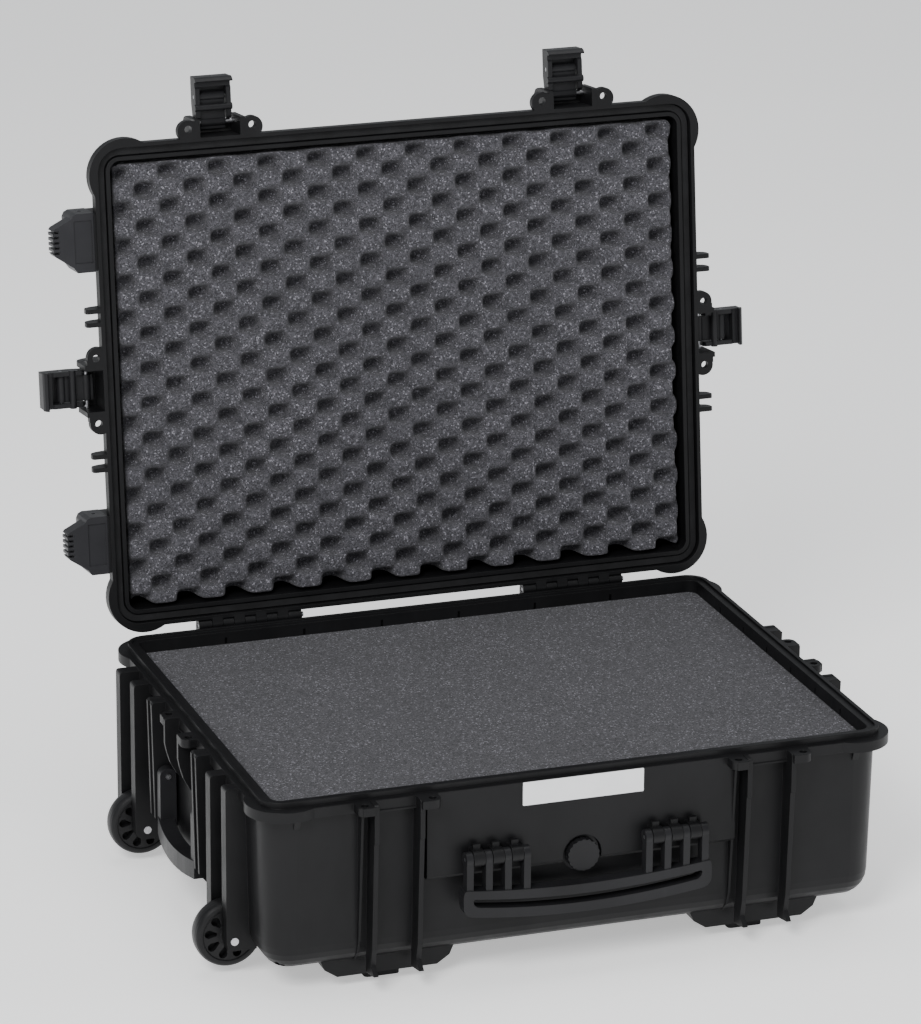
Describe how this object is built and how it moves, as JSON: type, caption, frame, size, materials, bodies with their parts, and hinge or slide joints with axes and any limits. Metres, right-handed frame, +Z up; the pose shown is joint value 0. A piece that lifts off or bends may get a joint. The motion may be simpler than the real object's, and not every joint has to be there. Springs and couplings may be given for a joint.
{
  "type": "hard equipment case",
  "caption": "Wheeled hard plastic equipment case standing open, with a foam-lined base and lid, draw latches, carrying handles, wheels and a pull-out trolley handle.",
  "frame": {"origin": "centre of the bounding box of the open case, at floor level", "axes": "-Y is the front, where the carrying handle is; +X is to the right seen from the front; +Z is up"},
  "size_m": [0.723, 0.5986, 0.7234],
  "materials": {
    "shell_plastic": "satin",
    "latch_plastic": "satin",
    "seal_rubber": "matte",
    "foam": "matte",
    "pin_steel": "satin",
    "tube_aluminium": "satin",
    "wheel_plastic": "satin",
    "foot_rubber": "matte",
    "plate_aluminium": "satin"
  },
  "bodies": {
    "base": {"base_shell": "shell_plastic", "base_foam": "foam", "hinge_pin_left": "pin_steel", "hinge_pin_right": "pin_steel", "front_handle_pins": "pin_steel", "side_handle_pins": "pin_steel", "axle_front": "pin_steel", "axle_rear": "pin_steel", "trolley_sleeves": "tube_aluminium", "ground_feet": "foot_rubber", "valve_seat": "latch_plastic", "name_plate": "plate_aluminium"},
    "lid": {"lid_shell": "shell_plastic", "lid_seal": "seal_rubber", "lid_foam": "foam", "latch_pin_a": "pin_steel", "latch_pin_b": "pin_steel", "latch_pin_c": "pin_steel", "latch_pin_d": "pin_steel", "stand_foot_front": "latch_plastic", "stand_foot_rear": "latch_plastic", "stand_screws": "pin_steel"},
    "front_grip": {"front_handle": "latch_plastic"},
    "side_grip": {"side_handle": "latch_plastic"},
    "wheel_a": {"wheel_front": "wheel_plastic"},
    "wheel_b": {"wheel_rear": "wheel_plastic"},
    "trolley": {"trolley_tubes": "tube_aluminium", "trolley_grip": "latch_plastic"},
    "button": {"trolley_button": "latch_plastic"},
    "knob": {"valve_knob": "latch_plastic"},
    "link_a": {"latch_link_a": "latch_plastic", "lever_pin_a": "pin_steel"},
    "lever_a": {"latch_lever_a": "latch_plastic"},
    "link_b": {"latch_link_b": "latch_plastic", "lever_pin_b": "pin_steel"},
    "lever_b": {"latch_lever_b": "latch_plastic"},
    "link_c": {"latch_link_c": "latch_plastic", "lever_pin_c": "pin_steel"},
    "lever_c": {"latch_lever_c": "latch_plastic"},
    "link_d": {"latch_link_d": "latch_plastic", "lever_pin_d": "pin_steel"},
    "lever_d": {"latch_lever_d": "latch_plastic"}
  },
  "joints": [
    {"name": "lid_hinge", "type": "hinge", "parent": "base", "child": "lid", "pos_m": [0, 0.197, 0.1945], "axis": [-1, 0, 0], "range_deg": [-96.3, 0]},
    {"name": "latch_a_swing", "type": "hinge", "parent": "lid", "child": "link_a", "pos_m": [-0.18, 0.27306, 0.67838], "axis": [-1, 0, 0], "range_deg": [-90, 0]},
    {"name": "latch_a_lever", "type": "hinge", "parent": "link_a", "child": "lever_a", "pos_m": [-0.18, 0.2758, 0.70322], "axis": [-1, 0, 0], "range_deg": [0, 60]},
    {"name": "latch_b_swing", "type": "hinge", "parent": "lid", "child": "link_b", "pos_m": [0.18, 0.27306, 0.67838], "axis": [-1, 0, 0], "range_deg": [-90, 0]},
    {"name": "latch_b_lever", "type": "hinge", "parent": "link_b", "child": "lever_b", "pos_m": [0.18, 0.2758, 0.70322], "axis": [-1, 0, 0], "range_deg": [0, 60]},
    {"name": "latch_c_swing", "type": "hinge", "parent": "lid", "child": "link_c", "pos_m": [-0.317, 0.24595, 0.43287], "axis": [0, -0.1097, -0.994], "range_deg": [-90, 0]},
    {"name": "latch_c_lever", "type": "hinge", "parent": "link_c", "child": "lever_c", "pos_m": [-0.342, 0.24595, 0.43287], "axis": [0, -0.1097, -0.994], "range_deg": [0, 60]},
    {"name": "latch_d_swing", "type": "hinge", "parent": "lid", "child": "link_d", "pos_m": [0.317, 0.24595, 0.43287], "axis": [0, 0.1097, 0.994], "range_deg": [-90, 0]},
    {"name": "latch_d_lever", "type": "hinge", "parent": "link_d", "child": "lever_d", "pos_m": [0.342, 0.24595, 0.43287], "axis": [0, 0.1097, 0.994], "range_deg": [0, 60]},
    {"name": "front_handle_swing", "type": "hinge", "parent": "base", "child": "front_grip", "pos_m": [0, -0.2918, 0.125], "axis": [-1, 0, 0], "range_deg": [0, 95]},
    {"name": "side_handle_swing", "type": "hinge", "parent": "base", "child": "side_grip", "pos_m": [-0.309, -0.0453, 0.119], "axis": [0, 1, 0], "range_deg": [0, 95]},
    {"name": "wheel_front_spin", "type": "hinge", "parent": "base", "child": "wheel_a", "pos_m": [-0.311, -0.1878, 0.0395], "axis": [0, 1, 0], "continuous": true},
    {"name": "wheel_rear_spin", "type": "hinge", "parent": "base", "child": "wheel_b", "pos_m": [-0.311, 0.0972, 0.0395], "axis": [0, 1, 0], "continuous": true},
    {"name": "trolley_pull", "type": "slide", "parent": "base", "child": "trolley", "axis": [1, 0, 0], "range_m": [0, 0.44]},
    {"name": "trolley_button_press", "type": "slide", "parent": "trolley", "child": "button", "axis": [-1, 0, 0], "range_m": [0, 0.003], "stiffness_N_per_m": 300},
    {"name": "valve_turn", "type": "hinge", "parent": "base", "child": "knob", "pos_m": [0, -0.2813, 0.112], "axis": [0, -1, 0], "range_deg": [0, 270]}
  ]
}
